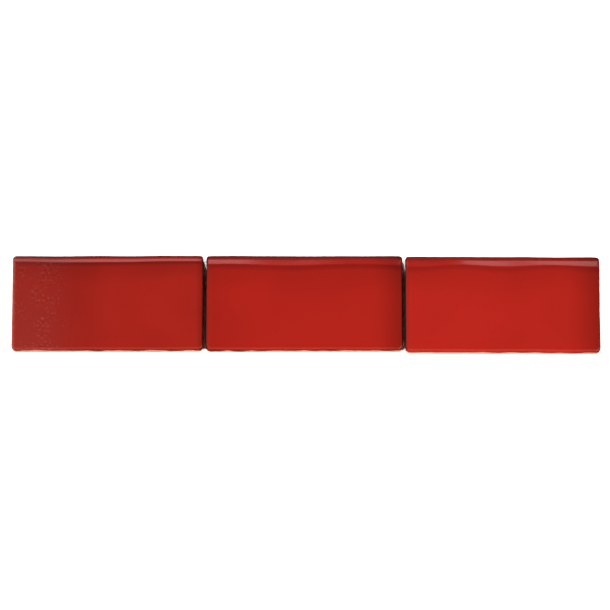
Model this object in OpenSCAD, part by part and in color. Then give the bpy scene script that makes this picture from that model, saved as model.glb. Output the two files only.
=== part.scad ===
// A row of three loose glazed clay trim tiles, each with one long edge rounded over.
// Millimetres. +X runs along the row, +Y points at the rounded edges, +Z leaves the glazed faces.
// The origin is the middle of the row's footprint, on the plane that the backs rest on.
// Each tile is three fired layers: a clay biscuit, a thin pale slip and the glaze over it.

/* [Row] */
// Length of the left tile
left_length = 146; // [100:0.5:200]
// Length of the centre tile
centre_length = 150; // [100:0.5:200]
// Length of the right tile
right_length = 148.6; // [100:0.1:200]
// Open joint between neighbouring tiles
joint_gap = 2.2; // [1.5:0.1:10]
// How far the left tile is turned out of line, in degrees
left_turn = 0.1; // [-0.3:0.05:0.3]
// How far the right tile is turned out of line, in degrees
right_turn = -0.2; // [-0.3:0.05:0.3]
// How far the right tile sits forward of the other two
right_forward = 1.1; // [0:0.1:3]

/* [Tile] */
// Depth from the square front edge to the rounded back edge
tile_depth = 75.8; // [50:0.1:120]
// Thickness over the glaze
tile_thickness = 10; // [8:0.1:16]
// Straight foot under the rounded back edge
bullnose_foot = 1.5; // [1.2:0.1:3]
// Rounding of the three square edges
edge_radius = 1.6; // [1.2:0.1:2.4]
// Rounding of the four corners, seen from above
corner_radius = 3.6; // [2:0.1:8]

/* [Coats] */
// Thickness of the glaze
glaze_thickness = 0.5; // [0.3:0.05:0.6]
// Thickness of the slip between the glaze and the clay
slip_thickness = 0.25; // [0.15:0.05:0.4]
// How far the glaze runs down the three square edges
glaze_drop = 4.4; // [3:0.1:6]
// Bare height left under the glaze of the rounded edge
bullnose_bare = 1; // [0.9:0.1:1.2]
// Height of the slip that shows below the glaze
slip_show = 0.5; // [0.2:0.1:0.7]

/* [Back] */
// Depth of the key pockets pressed into the back
key_depth = 0.8; // [0.4:0.1:1.5]
// Plain border around the pockets
key_border = 9; // [6:0.5:15]
// Width of the ribs between the pockets
key_rib = 4; // [2:0.5:6]
// Pockets along the tile, an even number, so that a rib crosses its middle
key_columns = 8; // [4:2:12]
// Pockets across the tile, an even number, so that a rib crosses its middle
key_rows = 4; // [2:2:6]

/* [Hidden] */
$fn = 96;

clay_colour = [0.78, 0.50, 0.38];
slip_colour = [0.93, 0.80, 0.70];
glaze_colour = [0.68, 0.13, 0.10];

// How deep the slip and the clay lie under the glaze's own surface.
slip_skin = glaze_thickness;
clay_skin = glaze_thickness + slip_thickness;

// The rounded back edge is a quarter circle from the glazed face down to its foot.
bullnose_radius = tile_thickness - bullnose_foot;

// Where the middle of each tile lies.
row_length = left_length + centre_length + right_length + 2 * joint_gap;
left_x = (left_length - row_length) / 2;
centre_x = left_x + (left_length + centre_length) / 2 + joint_gap;
right_x = (row_length - right_length) / 2;
back_y = right_forward / 2;

// Cutters run this far past what they cut.
past = 2;

// ---- Where each tile lies ----

module at_left() translate([left_x, back_y, 0]) rotate(left_turn) children();

module at_centre() translate([centre_x, back_y, 0]) children();

module at_right() translate([right_x, -back_y, 0]) rotate(right_turn) children();

// ---- Outlines ----

// A rectangle with four round corners, centred.
module rounded_rectangle(size, radius) {
    square([size.x - 2 * radius, size.y], center = true);
    square([size.x, size.y - 2 * radius], center = true);
    for (x = [-1, 1], y = [-1, 1])
        translate([x * (size.x / 2 - radius), y * (size.y / 2 - radius)]) circle(radius);
}

// The end view, front edge at left: a small round at the front and the bullnose at the back.
module end_outline(skin) {
    half = tile_depth / 2;
    small = edge_radius - skin;
    large = bullnose_radius - skin;
    top = tile_thickness - skin;
    front_x = -half + edge_radius;
    back_x = half - bullnose_radius;
    translate([front_x, 0]) square([back_x - front_x, top]);
    translate([-half + skin, 0]) square([tile_depth - 2 * skin, bullnose_foot]);
    translate([-half + skin, 0]) square([half, tile_thickness - edge_radius]);
    translate([front_x, tile_thickness - edge_radius]) circle(small);
    translate([back_x, bullnose_foot]) intersection() {
        circle(large);
        square(large + past);
    }
}

// The front view: a small round at the top of each end. It runs on below the back's plane.
module front_outline(length, skin) {
    wide = length - 2 * skin;
    small = edge_radius - skin;
    translate([-wide / 2, -past]) square([wide, past + tile_thickness - edge_radius]);
    translate([-wide / 2 + small, -past]) square([wide - 2 * small, past + tile_thickness - skin]);
    for (side = [-1, 1])
        translate([side * (wide / 2 - small), tile_thickness - edge_radius]) circle(small);
}

// ---- One tile, about its own middle ----

// A whole tile as it is inside a given depth of skin.
module form(length, skin) {
    intersection() {
        rotate([90, 0, 90])
            linear_extrude(length + 2 * past, center = true) end_outline(skin);
        rotate([90, 0, 0])
            linear_extrude(tile_depth + 2 * past, center = true) front_outline(length, skin);
        translate([0, 0, -past])
            linear_extrude(tile_thickness + 2 * past)
                rounded_rectangle([length - 2 * skin, tile_depth - 2 * skin], corner_radius - skin);
    }
}

// All that lies under a coat's lower edge, which is level along the square edges and falls
// down the rounded one.
module below_line(length, lowered) {
    side_z = tile_thickness - glaze_drop - lowered;
    back_z = bullnose_bare - lowered;
    edge_y = tile_depth / 2;
    rotate([90, 0, 90])
        linear_extrude(length + 2 * past, center = true)
            polygon([
                [-edge_y - past, -past],
                [edge_y + past, -past],
                [edge_y + past, back_z],
                [edge_y, back_z],
                [edge_y - bullnose_radius, side_z],
                [-edge_y - past, side_z],
            ]);
}

// The grid of shallow pockets in the back, which give the mortar its hold.
module key_pockets(length) {
    pocket_x = (length - 2 * key_border - (key_columns - 1) * key_rib) / key_columns;
    pocket_y = (tile_depth - 2 * key_border - (key_rows - 1) * key_rib) / key_rows;
    for (column = [0 : key_columns - 1], row = [0 : key_rows - 1])
        translate([
            -length / 2 + key_border + column * (pocket_x + key_rib),
            -tile_depth / 2 + key_border + row * (pocket_y + key_rib),
            -past
        ])
            cube([pocket_x, pocket_y, past + key_depth]);
}

module biscuit(length) {
    color(clay_colour) difference() {
        form(length, clay_skin);
        key_pockets(length);
    }
}

module slip(length) {
    color(slip_colour) difference() {
        form(length, slip_skin);
        form(length, clay_skin);
        below_line(length, slip_show);
    }
}

module glaze(length) {
    color(glaze_colour) difference() {
        form(length, 0);
        form(length, slip_skin);
        below_line(length, 0);
    }
}

// ---- The sub-parts in their places ----

module biscuit_left() at_left() biscuit(left_length);
module slip_left() at_left() slip(left_length);
module glaze_left() at_left() glaze(left_length);

module biscuit_centre() at_centre() biscuit(centre_length);
module slip_centre() at_centre() slip(centre_length);
module glaze_centre() at_centre() glaze(centre_length);

module biscuit_right() at_right() biscuit(right_length);
module slip_right() at_right() slip(right_length);
module glaze_right() at_right() glaze(right_length);

biscuit_left();
slip_left();
glaze_left();
biscuit_centre();
slip_centre();
glaze_centre();
biscuit_right();
slip_right();
glaze_right();
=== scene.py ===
"""Three loose red glazed clay trim tiles in a row: their surfaces, finishes, light and camera.

Each tile is three closed shells, one inside the other: the glaze, the pale slip under it and the
clay biscuit. All three are the same pressed form, made smaller by a skin, so they nest. Lengths are
in metres, in the frame of the CAD model: +X along the row, +Y towards the rounded edges, +Z up.
"""

from collections import namedtuple
from math import cos, pi, radians, sin

import bpy
import numpy as np
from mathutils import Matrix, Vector


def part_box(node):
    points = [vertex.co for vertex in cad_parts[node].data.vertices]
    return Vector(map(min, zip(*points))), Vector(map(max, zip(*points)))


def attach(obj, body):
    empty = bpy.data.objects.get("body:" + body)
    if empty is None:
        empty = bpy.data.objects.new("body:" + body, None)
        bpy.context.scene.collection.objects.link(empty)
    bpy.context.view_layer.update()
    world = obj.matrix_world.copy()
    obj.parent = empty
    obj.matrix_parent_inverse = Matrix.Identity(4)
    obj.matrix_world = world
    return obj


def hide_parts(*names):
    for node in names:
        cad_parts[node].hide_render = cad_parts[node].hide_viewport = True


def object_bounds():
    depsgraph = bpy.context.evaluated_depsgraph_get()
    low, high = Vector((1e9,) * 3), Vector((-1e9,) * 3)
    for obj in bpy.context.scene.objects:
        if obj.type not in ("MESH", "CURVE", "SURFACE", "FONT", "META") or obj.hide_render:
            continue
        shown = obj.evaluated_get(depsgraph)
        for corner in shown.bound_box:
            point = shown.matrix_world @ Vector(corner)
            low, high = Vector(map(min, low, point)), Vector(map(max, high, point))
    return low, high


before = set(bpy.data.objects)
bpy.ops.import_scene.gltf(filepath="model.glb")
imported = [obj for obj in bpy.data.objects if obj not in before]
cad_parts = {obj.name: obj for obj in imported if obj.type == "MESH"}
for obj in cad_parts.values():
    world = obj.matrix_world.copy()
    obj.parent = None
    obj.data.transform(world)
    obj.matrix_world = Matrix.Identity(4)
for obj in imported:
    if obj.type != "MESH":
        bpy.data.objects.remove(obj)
cad_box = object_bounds()

MM = 0.001

# ---- Sizes that the three tiles share ----

TILE_DEPTH = 75.8 * MM
CORNER_RADIUS = 3.6 * MM
ARRIS_RADIUS = 1.6 * MM
BULLNOSE_FOOT = 1.5 * MM
GLAZE_THICKNESS = 0.5 * MM
SLIP_THICKNESS = 0.25 * MM
# Layers stay this far apart, so that no two faces lie in one place.
LAYER_CLEARANCE = 0.004 * MM

# How far the glaze runs down, how far its lower edge swells out, and how much slip shows under it.
GLAZE_DROP = 4.4 * MM
GLAZE_BEAD = 0.14 * MM
SLIP_SHOW = 0.5 * MM

# How far the face falls at its outline, and how far inside the outline its flat grid ends.
EDGE_FALL = 0.10 * MM
FACE_INSET = 6 * MM

# The pockets in the back, and how far in their sloping sides lean.
KEY_DEPTH = 0.8 * MM
KEY_BORDER = 9 * MM
KEY_RIB = 4 * MM
KEY_COLUMNS = 8
KEY_ROWS = 4
KEY_DRAFT = 0.5 * MM

# The worn edge round the back, and how high its middle loop lies, as a share of it.
BACK_CHAMFER = 0.35 * MM
CHAMFER_MIDDLE = 0.35

# How far the bare clay spreads out below the coats. It begins to at one share of the crown's height
# and is fully out at the other.
FOOT_SPREAD = 0.55 * MM
BARE_BEGINS = 0.50
BARE_FULL = 0.25

# The glaze's lower edge hangs in lobes, in parts of its ripple's height: how long the lobes are, how
# far the line is raised to make room for them, and how much it drifts. The drift's seed is this far
# past the line's own.
LOBE_LENGTH = 1.7
LINE_RAISE = 0.7
LINE_DRIFT = 0.5
DRIFT_SEED = 100

# The slip's lower edge is thinned to a feather. Its two loops lie these shares of the crown's height
# below its line, and the outer one is pulled in by a share of the slip.
FEATHER_OUTER = 0.012
FEATHER_INNER = 0.008
FEATHER_PULL = 0.6
# The loops inside the slip, as shares of the way up.
SLIP_INSIDE = (0.3, 0.7)

# ---- Steps of the meshes ----

# How many steps a mesh takes along and across a face, and how much they crowd at its ends.
ALONG = 200
ACROSS = 100
CROWDING = 0.62

# Steps over the shoulder's flat and round its arris, or either where a coat hides it, and how much
# those over the flat crowd towards the arris.
FLAT_STEPS = 8
ARRIS_STEPS = 10
HIDDEN_STEPS = 5
FLAT_CROWDING = 1.5

# Steps down the walls, round the glaze's bead and up inside the glaze.
GLAZE_STEPS = 10
BEAD_STEPS = 6
INSIDE_STEPS = 3
SLIP_STEPS = 8
CLAY_STEPS = 14

# The loops between the clay's foot and the grid of its back, by how far inside the outline they lie.
BACK_INSETS = (2.6 * MM, 3.8 * MM, 4.9 * MM)

# ---- Unevenness ----

# A ripple adds this many waves, and is raised by this much, as their sum seldom reaches its height.
WAVE_COUNT = 7
WAVE_GAIN = 1.8

# A ripple's seed, its height, and its shortest and longest wavelength.
Waves = namedtuple("Waves", "seed height shortest longest")

SLIP_LINE = Waves(41, 0.5 * MM, 20 * MM, 60 * MM)
SLIP_FLECKS = Waves(42, 0.35 * MM, 4 * MM, 9 * MM)
CLAY_WALL = Waves(51, 0.07 * MM, 5 * MM, 22 * MM)
CLAY_CHIPS = Waves(52, 0.35 * MM, 4 * MM, 15 * MM)
POCKET_FLOOR = Waves(53, 0.10 * MM, 6 * MM, 20 * MM)
# Each loop of the clay's wall has a ripple of its own. From the top of the wall to its foot their
# seeds run this far past CLAY_WALL's.
WALL_SEEDS = 40

# What makes each tile its own. turn is in degrees, and swell is how far the long edges stand out.
# roll_depth is how far the bullnose reaches into the face. It wanders by roll_wave along the tile, in
# waves of roll_length, and is deepest at roll_start. edge, face and line are the ripples of the
# outline, of the face and of the glaze's lower edge.
Tile = namedtuple("Tile", "side turn swell roll_depth roll_wave roll_length roll_start edge face line")

TILES = [
    Tile(
        side="left", turn=0.1, swell=0.0,
        roll_depth=8.1 * MM, roll_wave=0.55 * MM, roll_length=150 * MM, roll_start=-15 * MM,
        edge=Waves(11, 0.16 * MM, 18 * MM, 70 * MM),
        face=Waves(21, 0.10 * MM, 24 * MM, 80 * MM),
        line=Waves(31, 1.5 * MM, 14 * MM, 46 * MM),
    ),
    Tile(
        side="centre", turn=0.0, swell=0.0,
        roll_depth=11.4 * MM, roll_wave=0.8 * MM, roll_length=102 * MM, roll_start=-11 * MM,
        edge=Waves(12, 0.14 * MM, 18 * MM, 70 * MM),
        face=Waves(22, 0.09 * MM, 24 * MM, 80 * MM),
        line=Waves(32, 1.4 * MM, 14 * MM, 50 * MM),
    ),
    Tile(
        side="right", turn=-0.2, swell=0.4 * MM,
        roll_depth=11.6 * MM, roll_wave=1.1 * MM, roll_length=70 * MM, roll_start=3 * MM,
        edge=Waves(13, 0.15 * MM, 18 * MM, 70 * MM),
        face=Waves(23, 0.10 * MM, 24 * MM, 80 * MM),
        line=Waves(33, 1.2 * MM, 12 * MM, 44 * MM),
    ),
]


# ---- Surfaces ----

def ripple(waves, x, y):
    """A smooth uneven height over the plan: the sum of plane sine waves, each with its own heading,
    phase and wavelength between the shortest and the longest, and weighted by its wavelength, so that
    the sum stays about within the ripple's height."""
    chance = np.random.default_rng(waves.seed)
    heading = chance.uniform(0, 2 * pi, WAVE_COUNT)
    phase = chance.uniform(0, 2 * pi, WAVE_COUNT)
    length = chance.uniform(waves.shortest, waves.longest, WAVE_COUNT)
    share = length / length.sum()
    x, y = x[..., None], y[..., None]
    along = x * np.cos(heading) + y * np.sin(heading)
    return waves.height * WAVE_GAIN * (share * np.sin(2 * pi * along / length + phase)).sum(-1)


def crowded(steps):
    """Numbers from 0 to 1 that lie closer together near both ends: t less a share of sin(2 pi t)."""
    t = np.linspace(0, 1, steps + 1)
    return t - CROWDING * np.sin(2 * pi * t) / (2 * pi)


def outline(length, depth, radius):
    """The points and outward normals of a rectangle with four round corners, anticlockwise from the
    middle of its front left corner. Each side runs from the middle of one corner's arc to the middle
    of the next: by arc length, so a point past the straight stretch is radius times the angle gone
    round the arc."""
    points, normals = [], []
    sides = [(ALONG, length, depth, 0), (ACROSS, depth, length, 1),
             (ALONG, length, depth, 2), (ACROSS, depth, length, 3)]
    for steps, run, across, quarter in sides:
        straight = run / 2 - radius
        travel = (crowded(steps)[:-1] - 0.5) * 2 * (straight + radius * pi / 4)
        ahead = np.sign(travel)
        angle = np.maximum(np.abs(travel) - straight, 0) / radius
        forward = ahead * (np.minimum(np.abs(travel), straight) + radius * np.sin(angle))
        outward = across / 2 - radius * (1 - np.cos(angle))
        turn = quarter * pi / 2
        for store, a, b in ((points, forward, outward), (normals, ahead * np.sin(angle), np.cos(angle))):
            store.append(np.stack([a * cos(turn) + b * sin(turn), a * sin(turn) - b * cos(turn)], -1))
    return np.concatenate(points), np.concatenate(normals)


def face_grid(length, depth):
    """A flat grid over a centred rectangle, crowded towards its edges, as x and y arrays."""
    x = (crowded(ALONG) - 0.5) * length
    y = (crowded(ACROSS) - 0.5) * depth
    return np.meshgrid(x, y, indexing="ij")


def rim_of(grid):
    """A grid's outer points, anticlockwise from its front left corner."""
    return np.concatenate([grid[:-1, 0], grid[-1, :-1], grid[:0:-1, -1], grid[0, :0:-1]])


class Form:
    """One tile's pressed form inside a given skin: its outline, its arris and its bullnose."""

    def __init__(self, tile, skin):
        low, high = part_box(f"glaze_{tile.side}")
        self.tile = tile
        self.skin = skin
        self.thickness = high.z
        self.top = high.z - skin
        self.centre = (low + high) / 2
        self.turn = radians(tile.turn)
        self.length = high.x - low.x - TILE_DEPTH * abs(sin(self.turn))
        self.arris = ARRIS_RADIUS - skin
        points, self.normals = outline(self.length - 2 * skin, TILE_DEPTH - 2 * skin, CORNER_RADIUS - skin)
        out = ripple(tile.edge, *points.T) + tile.swell * np.abs(self.normals[:, 1])
        self.edge = points + self.normals * out[:, None]
        self.grid = face_grid(self.length - 2 * FACE_INSET, TILE_DEPTH - 2 * FACE_INSET)
        self.grid_rim = np.stack([rim_of(g) for g in self.grid], -1)

    def roll_depth(self, x):
        """How far the bullnose reaches into the face at each x: a wave about its mean depth."""
        tile = self.tile
        wave = np.cos(2 * pi * (x - tile.roll_start) / tile.roll_length)
        return tile.roll_depth + tile.roll_wave * wave - self.skin

    def crown(self, x, y):
        """The height of the face over the plan: the top, with its uneven ripple, brought down to the
        foot along the back edge as a quarter ellipse."""
        depth = self.roll_depth(x)
        edge = TILE_DEPTH / 2 - self.skin
        back = edge + self.tile.swell + ripple(self.tile.edge, x, np.full_like(x, edge))
        reach = np.clip((y - back) / depth + 1, 0, 1)
        top = self.top + ripple(self.tile.face, x, y)
        return BULLNOSE_FOOT + (top - BULLNOSE_FOOT) * np.sqrt(1 - reach**2)

    def ring(self, inset, share, out=0.0):
        """A closed loop a given inset inside the outline, at a share of the crown's height. Insets run
        straight from the outline to the face grid's rim, and out pushes the loop along its normals.
        The face falls a little towards the outline, by the square of how near it is."""
        step = inset / FACE_INSET
        plan = self.edge * (1 - step) + self.grid_rim * step
        x, y = plan.T
        height = self.crown(x, y) * share * (1 - EDGE_FALL * (1 - step) ** 2 / self.top)
        x, y = (plan + self.normals * np.reshape(out, (-1, 1))).T
        return np.stack([x, y, height], -1)

    def face(self):
        """The flat middle of the face, as a grid of points."""
        x, y = self.grid
        return np.stack([x, y, self.crown(x, y)], -1)

    def shoulder(self, coarse=False):
        """The loops from the face's rim to the top of the wall: crowding towards the arris, which is a
        quarter circle. A coarse shoulder has fewer, for where a coat hides it."""
        flat_steps, arris_steps = (HIDDEN_STEPS, HIDDEN_STEPS) if coarse else (FLAT_STEPS, ARRIS_STEPS)
        run = np.linspace(0, 1, flat_steps + 1)[1:-1]
        flat = FACE_INSET + (self.arris - FACE_INSET) * (1 - (1 - run) ** FLAT_CROWDING)
        loops = [self.ring(inset, 1.0) for inset in flat]
        for angle in np.linspace(pi / 2, 0, arris_steps + 1):
            inset = self.arris * (1 - cos(angle))
            drop = self.arris * (1 - sin(angle))
            loops.append(self.ring(inset, 1 - drop / self.top))
        return loops

    def wall(self, low, steps):
        """The loops of the wall from just under the arris to a height that may differ all round, given
        as a share of the crown's height."""
        high = 1 - self.arris / self.top
        return [self.ring(0, high + (low - high) * s) for s in np.linspace(0, 1, steps + 1)[1:]]

    def placed(self, points):
        """Points of the tile's own frame, turned and moved to where the tile lies."""
        x, y, z = np.moveaxis(points, -1, 0)
        c, s = cos(self.turn), sin(self.turn)
        return np.stack([x * c - y * s + self.centre.x, x * s + y * c + self.centre.y, z], -1)


def coat_line(form):
    """The height of the glaze's lower edge all round, as a share of the crown: it hangs in lobes
    between narrow notches, the absolute value of a ripple, with a drift of its own added."""
    waves = form.tile.line
    x, y = form.edge.T
    lobes = np.abs(ripple(waves, x, y)) * LOBE_LENGTH
    wander = waves._replace(seed=waves.seed + DRIFT_SEED, height=waves.height * LINE_DRIFT)
    height = form.thickness - GLAZE_DROP + waves.height * LINE_RAISE - lobes + ripple(wander, x, y)
    return height / form.thickness


def stacked(top, loops, bottom):
    """The points of a shell in one list: its upper grid, its closed loops and its lower grid."""
    return np.concatenate([top.reshape(-1, 3), *loops, bottom.reshape(-1, 3)])


def shell_faces(loop_size, loop_count):
    """The quads of a shell: over the upper grid, between each closed row and the next, and over the
    lower grid, turned the other way. A grid's rim is the first or last of the rows."""
    nx, ny = ALONG + 1, ACROSS + 1
    upper = np.arange(nx * ny).reshape(nx, ny)
    lower = upper + nx * ny + loop_size * loop_count
    loops = nx * ny + np.arange(loop_size * loop_count).reshape(loop_count, loop_size)
    rows = np.concatenate([[rim_of(upper)], loops, [rim_of(lower)]])
    above, below = rows[:-1], rows[1:]
    over = np.stack([upper[:-1, :-1], upper[1:, :-1], upper[1:, 1:], upper[:-1, 1:]], -1)
    round_about = np.stack([above, below, np.roll(below, -1, 1), np.roll(above, -1, 1)], -1)
    under = np.stack([lower[:-1, :-1], lower[:-1, 1:], lower[1:, 1:], lower[1:, :-1]], -1)
    return np.concatenate([quads.reshape(-1, 4) for quads in (over, round_about, under)])


def shell(name, form, points):
    """A closed mesh through stacked points, put where its tile lies."""
    loop_size = len(form.grid_rim)
    grid_size = form.grid[0].size
    faces = shell_faces(loop_size, (len(points) - 2 * grid_size) // loop_size)
    mesh = bpy.data.meshes.new(name)
    mesh.vertices.add(len(points))
    mesh.vertices.foreach_set("co", form.placed(points).ravel())
    mesh.loops.add(faces.size)
    mesh.loops.foreach_set("vertex_index", faces.ravel())
    mesh.polygons.add(len(faces))
    mesh.polygons.foreach_set("loop_start", np.arange(0, faces.size, 4))
    mesh.polygons.foreach_set("use_smooth", np.ones(len(faces), bool))
    mesh.update(calc_edges=True)
    mesh.validate()
    piece = bpy.data.objects.new(name, mesh)
    bpy.context.scene.collection.objects.link(piece)
    return piece


# ---- The three layers of a tile ----

def glaze_shell(tile):
    """The glaze: the outer form down to its uneven lower edge, which swells into a bead and rolls
    under, and back up inside the inner form."""
    outer, inner = Form(tile, 0), Form(tile, GLAZE_THICKNESS)
    line = coat_line(outer)
    loops = outer.shoulder()
    top_of_wall = 1 - outer.arris / outer.top
    for s in np.linspace(0, 1, GLAZE_STEPS + 1)[1:]:
        loops.append(outer.ring(0, top_of_wall + (line - top_of_wall) * s, GLAZE_BEAD * s**4))
    radius = (GLAZE_THICKNESS + GLAZE_BEAD) / 2
    for angle in np.linspace(0, pi, BEAD_STEPS + 1)[1:]:
        dip = radius * sin(angle) / outer.top
        loops.append(outer.ring(0, line - dip, GLAZE_BEAD - radius * (1 - cos(angle))))
    for s in np.linspace(0, 1, INSIDE_STEPS + 1)[1:-1]:
        loops.append(inner.ring(0, line + (top_of_wall - line) * s))
    loops += inner.shoulder(coarse=True)[::-1]
    points = stacked(outer.face(), loops, inner.face())
    piece = shell(f"glaze_{tile.side}_shell", outer, points)
    mark(piece, outer, points)
    return piece


def slip_shell(tile):
    """The slip: the same form one glaze deeper, its lower edge nearly level and thinned to a feather."""
    outer = Form(tile, GLAZE_THICKNESS + LAYER_CLEARANCE)
    inner = Form(tile, GLAZE_THICKNESS + SLIP_THICKNESS)
    x, y = outer.edge.T
    drift = ripple(SLIP_LINE, x, y) + ripple(SLIP_FLECKS, x, y)
    line = (outer.thickness - GLAZE_DROP - SLIP_SHOW + drift) / outer.thickness
    top_of_wall = 1 - outer.arris / outer.top
    loops = outer.shoulder(coarse=True) + outer.wall(line, SLIP_STEPS)
    loops.append(outer.ring(0, line - FEATHER_OUTER, -FEATHER_PULL * SLIP_THICKNESS))
    loops.append(inner.ring(0, line - FEATHER_INNER))
    loops += [inner.ring(0, line + (top_of_wall - line) * s) for s in SLIP_INSIDE]
    loops += inner.shoulder(coarse=True)[::-1]
    return shell(f"slip_{tile.side}_shell", outer, stacked(outer.face(), loops, inner.face()))


def key_lines(length, count, steps):
    """Grid lines across a back, moved to the top and foot of each pocket's sloping side. Returns the
    lines and, for each, 1 inside a pocket and 0 on a rib."""
    pocket = (length - 2 * KEY_BORDER - (count - 1) * KEY_RIB) / count
    span = length - 2 * FACE_INSET
    lines = np.linspace(-span / 2, span / 2, steps + 1)
    inside = np.zeros(steps + 1)
    starts = -length / 2 + KEY_BORDER + np.arange(count) * (pocket + KEY_RIB)
    first = np.round((starts + span / 2) / span * steps).astype(int)
    last = np.round((starts + pocket + span / 2) / span * steps).astype(int)
    for a, b, start in zip(first, last, starts):
        lines[[a, a + 1, b - 1, b]] = start + np.array([0, KEY_DRAFT, pocket - KEY_DRAFT, pocket])
        inside[a + 1:b] = 1
    return lines, inside


def biscuit_back(form):
    """The back as a grid: level, with a rectangle of shallow pockets between ribs, and a little
    unevenness inside them. A point's depth is the product of its two lines' pocket shares."""
    x_lines, x_in = key_lines(form.length, KEY_COLUMNS, ALONG)
    y_lines, y_in = key_lines(TILE_DEPTH, KEY_ROWS, ACROSS)
    x, y = np.meshgrid(x_lines, y_lines, indexing="ij")
    depth = KEY_DEPTH + ripple(POCKET_FLOOR, x, y)
    return np.stack([x, y, np.outer(x_in, y_in) * depth], -1)


def biscuit_shell(tile):
    """The clay: the form under both coats, its bare wall spread and a little rough, its foot worn to
    a chamfer and its back pressed with pockets."""
    form = Form(tile, GLAZE_THICKNESS + SLIP_THICKNESS + LAYER_CLEARANCE)
    x, y = form.edge.T
    top_of_wall = 1 - form.arris / form.top
    chamfer = BACK_CHAMFER / form.top
    loops = form.shoulder(coarse=True)
    for s in np.linspace(0, 1, CLAY_STEPS + 1)[1:]:
        share = top_of_wall + (chamfer - top_of_wall) * s
        bare = np.clip((BARE_BEGINS - share) / (BARE_BEGINS - BARE_FULL), 0, 1)
        rough = ripple(CLAY_WALL._replace(seed=CLAY_WALL.seed + int(WALL_SEEDS * s)), x, y)
        loops.append(form.ring(0, share, bare * (FOOT_SPREAD + rough)))
    worn = (BACK_CHAMFER + np.abs(ripple(CLAY_CHIPS, x, y))) / 2
    loops.append(form.ring(0, chamfer * CHAMFER_MIDDLE, FOOT_SPREAD - worn / 2))
    loops.append(form.ring(0, 0.0, FOOT_SPREAD - worn))
    loops += [form.ring(inset, 0.0) for inset in BACK_INSETS]
    return shell(f"biscuit_{tile.side}_body", form, stacked(form.face(), loops, biscuit_back(form)))


def mark(piece, form, points):
    """Writes what the glaze's finish needs at each point: share, the height as a share of the crown,
    kept from 0 to 1.2; and reach, which is 1 at the back edge, 0 where the bullnose starts and below
    0 over the face, in depths of the bullnose."""
    x, y, z = points.T
    share = np.clip(z / form.crown(x, y), 0, 1.2)
    reach = np.minimum((y - TILE_DEPTH / 2 - form.tile.swell) / form.roll_depth(x) + 1, 1)
    for name, values in (("share", share), ("reach", reach)):
        attribute = piece.data.attributes.new(name, "FLOAT", "POINT")
        attribute.data.foreach_set("value", values.astype(np.float32))


# ---- Shader maths ----

class Value:
    """A node's output. A number can stand in an expression, where each operator adds a Math node."""

    def __init__(self, tree, socket):
        self.tree = tree
        self.socket = socket

    def __add__(self, other):
        return self.tree.math("ADD", self, other)

    def __radd__(self, other):
        return self.tree.math("ADD", other, self)

    def __sub__(self, other):
        return self.tree.math("SUBTRACT", self, other)

    def __rsub__(self, other):
        return self.tree.math("SUBTRACT", other, self)

    def __mul__(self, other):
        return self.tree.math("MULTIPLY", self, other)

    def __rmul__(self, other):
        return self.tree.math("MULTIPLY", other, self)


class Tree:
    """A node tree. node() adds any node, and the rest are short ways to the ones used most."""

    def __init__(self, node_tree):
        self.nodes = node_tree.nodes
        self.links = node_tree.links
        self.nodes.clear()

    def node(self, kind, settings=None, inputs=None, output=0):
        """Adds a node, sets its settings and then its sockets, and returns one of its outputs."""
        node = self.nodes.new("ShaderNode" + kind)
        for name, setting in (settings or {}).items():
            setattr(node, name, setting)
        for name, given in (inputs or {}).items():
            socket = node.inputs[name]
            if isinstance(given, Value):
                self.links.new(given.socket, socket)
            else:
                socket.default_value = given
        return Value(self, node.outputs[output]) if node.outputs else None

    def math(self, operation, *values):
        """One arithmetic step on numbers or sockets."""
        return self.node("Math", {"operation": operation}, dict(enumerate(values)))

    def ramp(self, value, low, high):
        """0 below low and 1 above high, with a smooth rise between them."""
        return self.node("MapRange", {"interpolation_type": "SMOOTHSTEP"},
                         {"Value": value, "From Min": low, "From Max": high})

    def mix(self, factor, first, second, blend="MIX"):
        """A colour between two, or the second laid on the first by a blend mode. The Mix node has its
        sockets once for each type, under the same names, so they go by number."""
        return self.node("Mix", {"data_type": "RGBA", "blend_type": blend},
                         {0: factor, 6: first, 7: second}, output=2)

    def noise(self, where, size, detail=2.0, roughness=0.5):
        """Noise from 0 to 1 whose features are about a given size, in metres."""
        return self.node("TexNoise", None, {"Vector": where, "Scale": 1 / size, "Detail": detail,
                                            "Roughness": roughness})

    def cells(self, where, size, output="Distance"):
        """The distance from the nearest of points scattered about a size apart, or that cell's colour."""
        return self.node("TexVoronoi", None, {"Vector": where, "Scale": 1 / size}, output=output)

    def attribute(self, name):
        """What mark() wrote at each point under a name."""
        return self.node("Attribute", {"attribute_name": name}, output="Fac")

    def coordinates(self, where):
        """The x, y and z of a vector."""
        x = self.node("SeparateXYZ", None, {"Vector": where})
        return [Value(self, output) for output in x.socket.node.outputs]

    def bump(self, height, depth, below=None):
        """The surface raised by height times depth, in metres, on top of another bump if there is one."""
        inputs = {"Height": height, "Distance": depth, "Strength": 1.0}
        if below:
            inputs["Normal"] = below
        return self.node("Bump", None, inputs)


def finish(name, build):
    """A new material whose Principled sockets are what build(tree, where) returns, where being the
    object's own coordinates in metres."""
    material = bpy.data.materials.new(name)
    material.use_nodes = True
    tree = Tree(material.node_tree)
    where = tree.node("TexCoord", output="Object")
    shader = tree.node("BsdfPrincipled", None, build(tree, where))
    tree.node("OutputMaterial", None, {"Surface": shader})
    return material


# ---- Finishes ----

def colour(red, green, blue):
    """An opaque colour from its linear parts."""
    return (red, green, blue, 1.0)


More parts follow.
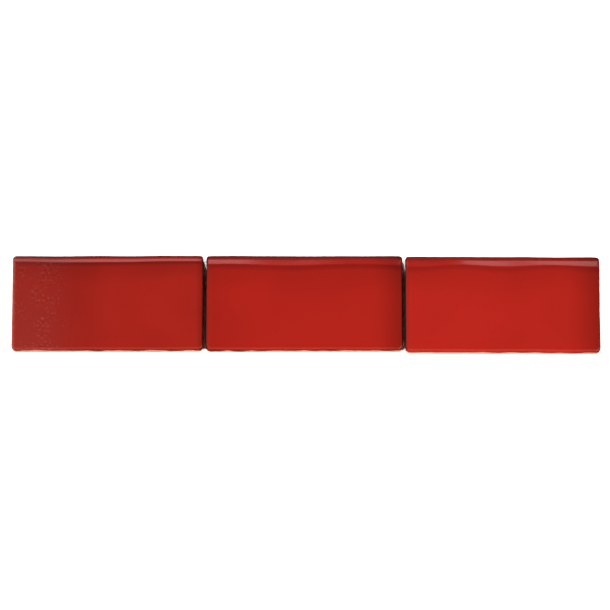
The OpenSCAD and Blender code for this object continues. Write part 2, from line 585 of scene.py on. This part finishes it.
# A glaze's light and dark tone. left_fade and right_fade are how far in from its ends painted shade
# darkens it, and left_shade is how dark the left end's painted shade is. hollow is how dark the hollow
# before the bullnose is; rim and roll are how dark the painted shade on the foot of the bullnose and
# on the rolled lower edge is; and crest is how much brighter the bullnose is where it starts to fall,
# by thinner glaze and a painted highlight. worn is how dulled, speckled and orange-brown its left end is.
Glaze = namedtuple("Glaze", "light dark left_fade left_shade right_fade hollow crest rim roll worn")

GLAZES = {
    "left": Glaze(
        colour(0.385, 0.018, 0.011), colour(0.350, 0.016, 0.010),
        left_fade=2 * MM, left_shade=0.5, right_fade=7 * MM, hollow=1.0, crest=0.75, rim=0.4, roll=0.9,
        worn=1.0,
    ),
    "centre": Glaze(
        colour(0.46, 0.018, 0.011), colour(0.43, 0.017, 0.011),
        left_fade=46 * MM, left_shade=0.7, right_fade=24 * MM, hollow=0.75, crest=0.25, rim=1.0, roll=0.9,
        worn=0.0,
    ),
    "right": Glaze(
        colour(0.52, 0.0205, 0.013), colour(0.49, 0.0195, 0.012),
        left_fade=5 * MM, left_shade=0.8, right_fade=27 * MM, hollow=0.6, crest=0.1, rim=1.0, roll=0.6,
        worn=0.0,
    ),
}
GLAZE_IOR = 1.5

# Colours of the worn end, one of them painted glints, and tints that darken or brighten a glaze's
# own tone, most of them painted shade.
DULL_COLOUR = colour(0.29, 0.029, 0.022)
BREAK_COLOUR = colour(0.36, 0.070, 0.046)
# Painted glints: the light specks stand for glints off the rims of pits in the worn glaze.
PAINTED_GLINT_COLOUR = colour(0.42, 0.070, 0.055)
# Painted shade on the rolled lower edge and the glaze's walls below it.
ROLL_SHADE_TINT = colour(0.44, 0.95, 0.55)
WORN_TINT = colour(0.80, 0.90, 0.95)
# Painted shade near the ends. It also darkens the worn end's dark specks.
END_SHADE_AND_SPECK_TINT = colour(0.58, 0.68, 0.62)
HOLLOW_TINT = colour(0.68, 0.70, 0.72)
# Painted shade on a thin brim at each tile's left end.
BRIM_SHADE_TINT = colour(0.45, 0.50, 0.45)
SLOPE_TINT = colour(0.82, 0.86, 0.88)
# Brighter crest: thinner glaze there, and a painted highlight along the bullnose.
CREST_THIN_GLAZE_AND_HIGHLIGHT_TINT = colour(1.55, 1.30, 1.25)
# Painted shade round the foot of the bullnose.
RIM_SHADE_TINT = colour(0.70, 0.72, 0.70)

# Where each shade of the glaze begins and is full. On the bullnose they are in its depths, from where
# it starts, and the hollow and the crest fade out again.
SLOPE = (-2.2, 0.1)
HOLLOW = (-0.30, 0.08)
HOLLOW_FADES = (0.13, 0.26)
CREST = (0.16, 0.28)
CREST_FADES = (0.55, 0.75)
RIM = (0.45, 0.75)
# The rolled lower edge, as shares of the crown's height.
ROLLED = (0.90, 0.98)
# The painted shade on each left end's brim, and the worn arris, as distances from the left end.
BRIM = (0.3 * MM, 2.2 * MM)
WORN_ARRIS = (0.6 * MM, 3.2 * MM)
# The worn, the dull and the speckled stretch, as shares of the length from the left end.
WORN = (0.2, 0.65)
DULL = (0.10, 0.42)
SPECKLED = (0.22, 0.33)

# The sizes of the patterns in the glaze.
TONE_SIZE = 42 * MM
MOTTLE_SIZE = 6 * MM
CLOUD_SIZE = 14 * MM
SPECK_SIZE = 2.0 * MM
CLUSTER_SIZE = 13 * MM
WEAR_SIZE = 4 * MM
PEEL_SIZE = 5 * MM
SHEEN_SIZE = 9 * MM
PEEL_HEIGHT = 0.014 * MM
PIT_HEIGHT = 0.05 * MM
# The values of their noise, from 0 to 1, between which each pattern of the glaze comes in. The dark
# specks go out instead.
TONES = (0.34, 0.74)
CLUSTERS = (0.36, 0.58)
GLINT_SPECKS = (0.55, 0.62)
DARK_SPECKS = (0.37, 0.45)
WEAR = (0.36, 0.60)

# The slip's colours and patterns, and where its thin patches come in.
CREAM = colour(0.82, 0.62, 0.46)
THIN_CREAM = colour(0.72, 0.42, 0.30)
SLIP_PATCH_SIZE = 3.5 * MM
SLIP_GRAIN_SIZE = 0.5 * MM
SLIP_GRAIN_HEIGHT = 0.03 * MM
THIN_PATCHES = (0.42, 0.66)

# The clay's colours and patterns. Its grog is scattered cells, seen only near their points: those
# whose number is above one stretch are pale, and those below the other are rusty.
TAN_CLAY = colour(0.58, 0.27, 0.175)
PINK_CLAY = colour(0.72, 0.38, 0.26)
PALE_GROG = colour(0.84, 0.68, 0.54)
RUSTY_GROG = colour(0.34, 0.12, 0.06)
DARK_SAND = colour(0.44, 0.19, 0.12)
CLAY_CLOUD_SIZE = 11 * MM
GROG_SIZE = 1.3 * MM
SAND_SIZE = 0.45 * MM
SAND_HEIGHT = 0.06 * MM
PORE_SIZE = 0.9 * MM
PORE_DEPTH = 0.10 * MM
CLAY_CLOUDS = (0.34, 0.68)
GROG_RIM = (0.22, 0.34)
PALE_KINDS = (0.80, 0.84)
RUSTY_KINDS = (0.10, 0.14)
SAND_GRAINS = (0.3, 0.7)
PORE_RIM = (0.08, 0.24)


def red_glaze(tree, where, side, low, high):
    """Red gloss glaze: a slow drift of tone, darker towards the bullnose and in a line where it starts.
    Painted shade darkens the foot of the bullnose, the ends, a thin brim at each left end and the
    rolled lower edge, and a painted highlight with thinner glaze brightens the crest where the bullnose
    starts to fall. The left tile's outer end is worn: duller, speckled with painted glints and dark
    specks, and orange-brown along its arris."""
    glaze = GLAZES[side]
    x, y, _ = tree.coordinates(where)
    share = tree.attribute("share")
    reach = tree.attribute("reach")
    length = high.x - low.x

    def left_end(start, end):
        """1 at the tile's left end, and down to 0 between two distances from it."""
        return 1 - tree.ramp(x, low.x + start, low.x + end)

    mottled = tree.noise(where, TONE_SIZE, 1.0) + 0.10 * tree.noise(where, MOTTLE_SIZE, 3.0)
    body = tree.mix(tree.ramp(mottled, *TONES), glaze.dark, glaze.light)
    cloud = 0.85 + 0.30 * tree.noise(where, CLOUD_SIZE, 2.0)
    slope = tree.ramp(reach, *SLOPE) * cloud * (0.3 + 0.7 * glaze.hollow)
    hollow = tree.ramp(reach, *HOLLOW) * (1 - tree.ramp(reach, *HOLLOW_FADES)) * cloud * glaze.hollow
    crest = tree.ramp(reach, *CREST) * (1 - tree.ramp(reach, *CREST_FADES)) * glaze.crest
    rim = tree.ramp(reach, *RIM) * glaze.rim
    left = left_end(-glaze.left_fade, glaze.left_fade) * glaze.left_shade
    right = tree.ramp(x, high.x - glaze.right_fade, high.x + 0.25 * glaze.right_fade)
    rolled = (1 - tree.ramp(share, *ROLLED)) * glaze.roll
    worn = left_end(WORN[0] * length, WORN[1] * length) * glaze.worn
    # The rim, the ends, the brim and the rolled edge are painted shade; the crest is partly a painted
    # highlight.
    for depth, tint in (
        (slope, SLOPE_TINT),
        (hollow, HOLLOW_TINT),
        (crest, CREST_THIN_GLAZE_AND_HIGHLIGHT_TINT),
        (rim, RIM_SHADE_TINT),
        (left, END_SHADE_AND_SPECK_TINT),
        (right, END_SHADE_AND_SPECK_TINT),
        (left_end(*BRIM), BRIM_SHADE_TINT),
        (rolled, ROLL_SHADE_TINT),
        (worn, WORN_TINT),
    ):
        body = tree.mix(depth, body, tint, "MULTIPLY")

    dull = left_end(DULL[0] * length, DULL[1] * length)
    dull_low = dull * (0.35 + 0.65 * (1 - tree.ramp(y, low.y, high.y)))
    body = tree.mix(dull_low * 0.6 * glaze.worn, body, DULL_COLOUR)
    grain = tree.noise(where, SPECK_SIZE, 3.0, 0.65)
    sown = tree.ramp(tree.noise(where, CLUSTER_SIZE, 2.0), *CLUSTERS) * glaze.worn
    sown = sown * left_end(SPECKLED[0] * length, SPECKLED[1] * length)
    # Painted glints off the rims of pits, in the speckled stretch of the worn end.
    painted_glints = tree.ramp(grain, *GLINT_SPECKS) * dull_low * sown
    dark_specks = (1 - tree.ramp(grain, *DARK_SPECKS)) * sown
    body = tree.mix(painted_glints * 0.8, body, PAINTED_GLINT_COLOUR)
    body = tree.mix(dark_specks * 0.5, body, END_SHADE_AND_SPECK_TINT, "MULTIPLY")
    wear = tree.ramp(tree.noise(where, WEAR_SIZE, 4.0, 0.6), *WEAR)
    body = tree.mix(left_end(*WORN_ARRIS) * (0.5 + 0.5 * wear) * glaze.worn, body, BREAK_COLOUR)

    peel = tree.bump(tree.noise(where, PEEL_SIZE, 2.0), PEEL_HEIGHT)
    pitted = tree.bump(grain * dull_low, PIT_HEIGHT * glaze.worn, peel)
    return {
        "Base Color": body,
        "Roughness": 0.09 + 0.03 * tree.noise(where, SHEEN_SIZE, 2.0) + 0.13 * dull * glaze.worn,
        "Normal": pitted,
        "IOR": GLAZE_IOR,
    }


def pale_slip(tree, where):
    """Pale slip: a matt cream coat, a little pinker where it is thin over the clay."""
    thin = tree.ramp(tree.noise(where, SLIP_PATCH_SIZE, 4.0, 0.6), *THIN_PATCHES)
    grain = tree.noise(where, SLIP_GRAIN_SIZE, 3.0, 0.6)
    return {
        "Base Color": tree.mix(thin, CREAM, THIN_CREAM),
        "Roughness": 0.72 + 0.12 * grain,
        "Normal": tree.bump(grain, SLIP_GRAIN_HEIGHT),
    }


def fired_clay(tree, where):
    """Fired clay: pinkish tan, clouded over a few millimetres, with pale and rusty grog, fine sand
    grain and open pores."""
    cloud = tree.ramp(tree.noise(where, CLAY_CLOUD_SIZE, 4.0, 0.6), *CLAY_CLOUDS)
    body = tree.mix(cloud, TAN_CLAY, PINK_CLAY)
    cell = tree.cells(where, GROG_SIZE, "Color")
    kind = tree.node("SeparateColor", None, {"Color": cell}, output="Red")
    near = 1 - tree.ramp(tree.cells(where, GROG_SIZE), *GROG_RIM)
    body = tree.mix(near * tree.ramp(kind, *PALE_KINDS), body, PALE_GROG)
    body = tree.mix(near * (1 - tree.ramp(kind, *RUSTY_KINDS)), body, RUSTY_GROG)
    sand = tree.noise(where, SAND_SIZE, 4.0, 0.7)
    pores = 1 - tree.ramp(tree.cells(where, PORE_SIZE), *PORE_RIM)
    return {
        "Base Color": tree.mix(0.35 * tree.ramp(sand, *SAND_GRAINS), body, DARK_SAND),
        "Roughness": 0.82 + 0.12 * sand,
        "Normal": tree.bump(1 - pores, PORE_DEPTH, tree.bump(sand, SAND_HEIGHT)),
    }


# ---- The tiles ----

def add_tile(tile, slip_finish, clay_finish):
    """A tile's three layers, each in the place of its CAD node and riding on the tile's body."""
    low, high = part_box(f"glaze_{tile.side}")
    glaze_finish = finish(
        f"red_glaze_{tile.side}",
        lambda tree, where: red_glaze(tree, where, tile.side, low, high))
    layers = [
        (glaze_shell(tile), "glaze", "red_glaze", glaze_finish),
        (slip_shell(tile), "slip", "slip", slip_finish),
        (biscuit_shell(tile), "biscuit", "clay", clay_finish),
    ]
    for piece, layer, slot, material in layers:
        piece.data.materials.append(material)
        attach(piece, f"tile_{tile.side}")
        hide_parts(f"{layer}_{tile.side}")


slip_finish = finish("pale_slip", pale_slip)
clay_finish = finish("fired_clay", fired_clay)
for tile in TILES:
    add_tile(tile, slip_finish, clay_finish)


# ---- Floor, light and camera ----

# The camera stands in front of the row, at this elevation. The field is as wide as it sees at the
# row, and its aim is moved a little from the middle of the row.
CAMERA_ELEVATION = 75
CAMERA_DISTANCE = 3.4
CAMERA_CLIP_END = 100
FIELD_WIDTH = 466.3 * MM
AIM_RIGHT = -0.80 * MM
AIM_UP = -1.2 * MM

FLOOR_SIDE = 12.0
FLOOR_GAP = 0.01 * MM
FLOOR_ALBEDO = 0.85
# Each lamp of the floor alone makes it this bright, and at least two reach every open place.
FLOOR_SHARE = 0.62
FLOOR_LAMP_DISTANCE = 3
# How wide each lamp looks from the floor, as an angle.
FLOOR_LAMP_ANGLE = radians(1.5)
# The azimuth and elevation of each, in degrees. The last one shines a little way into the joints
# past the low backs of the tiles.
FLOOR_LAMPS = {
    "floor_a": (-60, 45),
    "floor_b": (60, 45),
    "floor_c": (-130, 42),
    "floor_d": (130, 42),
    "floor_e": (-162, 45),
}

# The sky's strength, how much less it is overhead, and where it rises and drops, as heights on a
# sphere of radius 1.
SKY = 0.07
SKY_DROP = 0.06
HORIZON = (-0.05, 0.05)
OVERHEAD = (0.75, 0.93)

# A soft rectangular lamp: the azimuth and elevation that it stands at, in degrees, its distance, how
# far it is moved along the row, its size and its radiance, and whether it lights the surfaces or
# shows in their gloss.
Softbox = namedtuple("Softbox", "azimuth elevation distance shift width height radiance lights shows")

SOFTBOXES = {
    "key": Softbox(-60, 50, 3.2, 0.0, 1.4, 1.4, 21.5, lights=True, shows=False),
    "fill": Softbox(80, 20, 1.6, 0.0, 1.0, 0.5, 2.6, lights=True, shows=False),
    "behind_left": Softbox(180, 36, 1.6, -0.27, 0.48, 0.98, 1.75, lights=False, shows=True),
    "behind_right": Softbox(180, 36, 1.6, 0.34, 0.29, 0.98, 1.75, lights=False, shows=True),
    "high_front": Softbox(0, 55, 1.5, 0.0, 1.6, 1.0, 0.5, lights=False, shows=True),
    "left_sheet": Softbox(-105, 35, 1.5, 0.0, 1.2, 1.2, 0.3, lights=False, shows=True),
    "corner_sheet": Softbox(57, 33, 1.4, 0.0, 1.6, 0.4, 3.2, lights=False, shows=True),
}


def direction(azimuth, elevation):
    """The unit vector towards a place in the sky. Azimuth 0 is in front, at -Y, and 90 is at +X."""
    a, e = radians(azimuth), radians(elevation)
    return Vector((sin(a) * cos(e), -cos(a) * cos(e), sin(e)))


def facing(azimuth, elevation):
    """The turn that makes a lamp or a camera at a place in the sky face the origin, level along its
    own width."""
    return (radians(90 - elevation), 0, radians(azimuth))


def add_light(name, kind, azimuth, elevation, distance, **settings):
    """A lamp at a place in the sky, facing the origin."""
    lamp = bpy.data.lights.new(name, kind)
    for key, setting in settings.items():
        setattr(lamp, key, setting)
    light = bpy.data.objects.new(name, lamp)
    light.location = direction(azimuth, elevation) * distance
    light.rotation_euler = facing(azimuth, elevation)
    bpy.context.scene.collection.objects.link(light)
    return light


def matt_white(tree, where):
    """Plain matt white, with no gloss at all."""
    return {
        "Base Color": colour(FLOOR_ALBEDO, FLOOR_ALBEDO, FLOOR_ALBEDO),
        "Roughness": 1.0,
        "Specular IOR Level": 0.0,
    }


def make_floor():
    """A plain white floor that doesn't show in the glaze."""
    mesh = bpy.data.meshes.new("floor")
    side = FLOOR_SIDE / 2
    corners = [(-side, -side, 0), (side, -side, 0), (side, side, 0), (-side, side, 0)]
    mesh.from_pydata(corners, [], [(0, 1, 2, 3)])
    floor = bpy.data.objects.new("floor", mesh)
    bpy.context.scene.collection.objects.link(floor)
    floor.location.z = -FLOOR_GAP
    floor.visible_glossy = False
    mesh.materials.append(finish("floor", matt_white))
    return floor


def light_floor(floor):
    """Sharp lamps that reach only the floor keep it white all round the tiles, and leave the narrow
    joints dark."""
    only = bpy.data.collections.new("floor_only")
    only.objects.link(floor)
    for name, (azimuth, elevation) in FLOOR_LAMPS.items():
        strength = FLOOR_SHARE * pi / (FLOOR_ALBEDO * sin(radians(elevation)))
        lamp = add_light(name, "SUN", azimuth, elevation, FLOOR_LAMP_DISTANCE,
                         energy=strength, angle=FLOOR_LAMP_ANGLE)
        lamp.light_linking.receiver_collection = only


def light_tiles(floor):
    """The softboxes. A lamp's power is its radiance times pi times its area. They spare the floor,
    which has lamps of its own."""
    spared = bpy.data.collections.new("all_but_floor")
    spared.objects.link(floor)
    spared.collection_objects[0].light_linking.link_state = "EXCLUDE"
    for name, box in SOFTBOXES.items():
        power = box.radiance * pi * box.width * box.height
        light = add_light(name, "AREA", box.azimuth, box.elevation, box.distance,
                          shape="RECTANGLE", size=box.width, size_y=box.height, energy=power)
        light.location.x += box.shift
        light.visible_diffuse = box.lights
        light.visible_glossy = box.shows
        light.light_linking.receiver_collection = spared


def fill_world():
    """White where the camera looks past the floor, and otherwise a dim sky that is darkest high up,
    so that little light falls into the joints. It is black below the horizon, where the floor that
    doesn't show in the glaze would be."""
    world = bpy.data.worlds.new("studio")
    bpy.context.scene.world = world
    world.use_nodes = True
    tree = Tree(world.node_tree)
    _, _, height = tree.coordinates(tree.node("TexCoord", output="Generated"))
    sky = tree.ramp(height, *HORIZON) * (SKY - SKY_DROP * tree.ramp(height, *OVERHEAD))
    seen = tree.node("LightPath", output="Is Camera Ray")
    strength = tree.math("MAXIMUM", seen, sky)
    back = tree.node("Background", None, {"Color": colour(1, 1, 1), "Strength": strength})
    tree.node("OutputWorld", None, {"Surface": back})


def place_camera():
    """A long lens, high in front of the row."""
    low, high = (Vector(corner) for corner in cad_box)
    lift = AIM_UP * Vector((0, sin(radians(CAMERA_ELEVATION)), 0))
    aim = (low + high) / 2 + Vector((AIM_RIGHT, 0, 0)) + lift
    camera = bpy.data.objects.new("camera", bpy.data.cameras.new("camera"))
    camera.location = aim + direction(0, CAMERA_ELEVATION) * CAMERA_DISTANCE
    camera.rotation_euler = facing(0, CAMERA_ELEVATION)
    camera.data.lens = camera.data.sensor_width * CAMERA_DISTANCE / FIELD_WIDTH
    camera.data.clip_end = CAMERA_CLIP_END
    bpy.context.scene.collection.objects.link(camera)
    bpy.context.scene.camera = camera


floor = make_floor()
light_floor(floor)
light_tiles(floor)
fill_world()
place_camera()
bpy.context.scene.view_settings.view_transform = "Standard"
